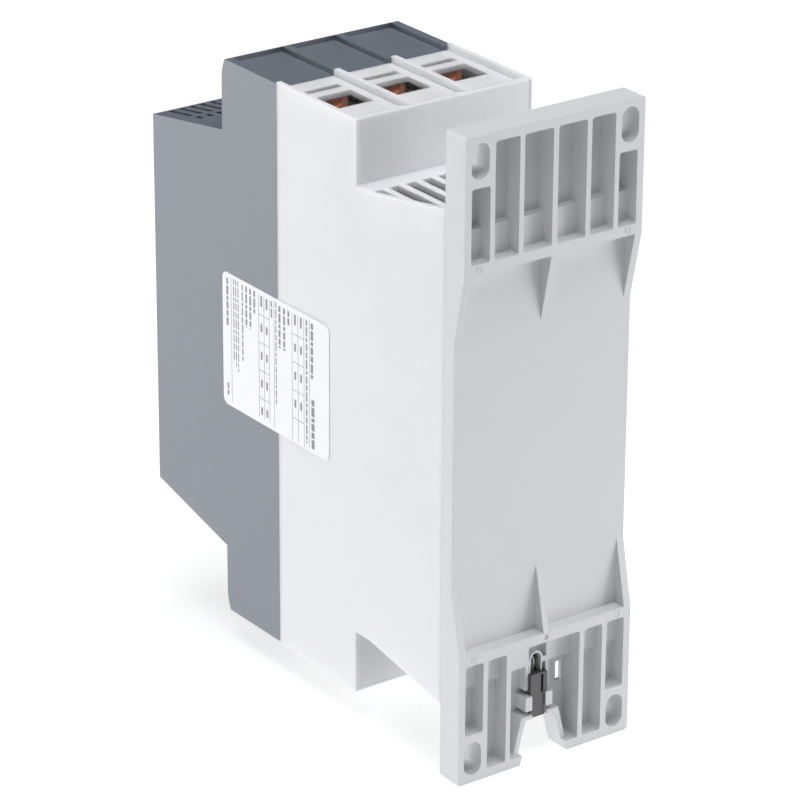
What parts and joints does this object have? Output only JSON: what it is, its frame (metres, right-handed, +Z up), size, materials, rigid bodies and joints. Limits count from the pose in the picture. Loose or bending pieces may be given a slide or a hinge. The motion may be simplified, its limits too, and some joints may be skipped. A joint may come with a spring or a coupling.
{
  "type": "soft starter",
  "caption": "Slim wall-mounted motor soft starter: light rear housing on a slotted plate, dark front with setting dials, and cable clamps for line and load.",
  "frame": {"origin": "centre of the four fixing slots, on the plate's rear plane", "axes": "+Z up along the housing, -Y out of the front with the dials, +X to the right seen from the front"},
  "size_m": [0.0701, 0.1779, 0.2224],
  "materials": {
    "plate_plastic": "fine texture",
    "light_plastic": "fine texture",
    "dark_plastic": "fine texture",
    "label": "satin film",
    "aluminium": "extruded",
    "black_plastic": "satin",
    "circuit_board": "lacquered",
    "core": "varnished",
    "can": "sleeved",
    "ribbon": "smooth",
    "copper": "bare copper",
    "steel": "zinc plated",
    "dial": "smooth",
    "light_pipe": "clear",
    "terminal_plastic": "satin",
    "lead": "smooth insulation"
  },
  "bodies": {
    "starter": {"mounting_plate": "plate_plastic", "rear_housing": "light_plastic", "front_cover": "dark_plastic", "rating_label": "label", "heat_sink": "aluminium", "thyristor_module_1": "black_plastic", "thyristor_module_3": "black_plastic", "bypass_relay_1": "black_plastic", "bypass_relay_3": "black_plastic", "power_board": "circuit_board", "supply_transformer": "core", "supply_capacitors": "can", "control_board": "circuit_board", "board_ribbon": "ribbon", "line_bar_1": "copper", "line_bar_3": "copper", "load_bar_1": "copper", "load_bar_3": "copper", "through_bar": "copper", "line_clamp_1": "steel", "line_clamp_2": "steel", "line_clamp_3": "steel", "load_clamp_1": "steel", "load_clamp_2": "steel", "load_clamp_3": "steel", "ready_light": "light_pipe", "run_light": "light_pipe", "control_terminals": "terminal_plastic", "control_screws": "steel", "clamp_screws": "steel", "bar_screws": "steel", "module_screws": "steel", "base_screws": "steel", "power_board_screws": "steel", "control_board_screws": "steel", "fan_socket": "black_plastic", "fan_leads": "lead"},
    "start_dial_knob": {"start_dial": "dial"},
    "stop_dial_knob": {"stop_dial": "dial"},
    "voltage_dial_knob": {"voltage_dial": "dial"}
  },
  "joints": [
    {"name": "start_dial_turn", "type": "hinge", "parent": "starter", "child": "start_dial_knob", "pos_m": [0, -0.1765, 0.034], "axis": [0, -1, 0], "range_deg": [-135, 135]},
    {"name": "stop_dial_turn", "type": "hinge", "parent": "starter", "child": "stop_dial_knob", "pos_m": [0, -0.1765, 0.01], "axis": [0, -1, 0], "range_deg": [-135, 135]},
    {"name": "voltage_dial_turn", "type": "hinge", "parent": "starter", "child": "voltage_dial_knob", "pos_m": [0, -0.1765, -0.014], "axis": [0, -1, 0], "range_deg": [-135, 135]}
  ]
}
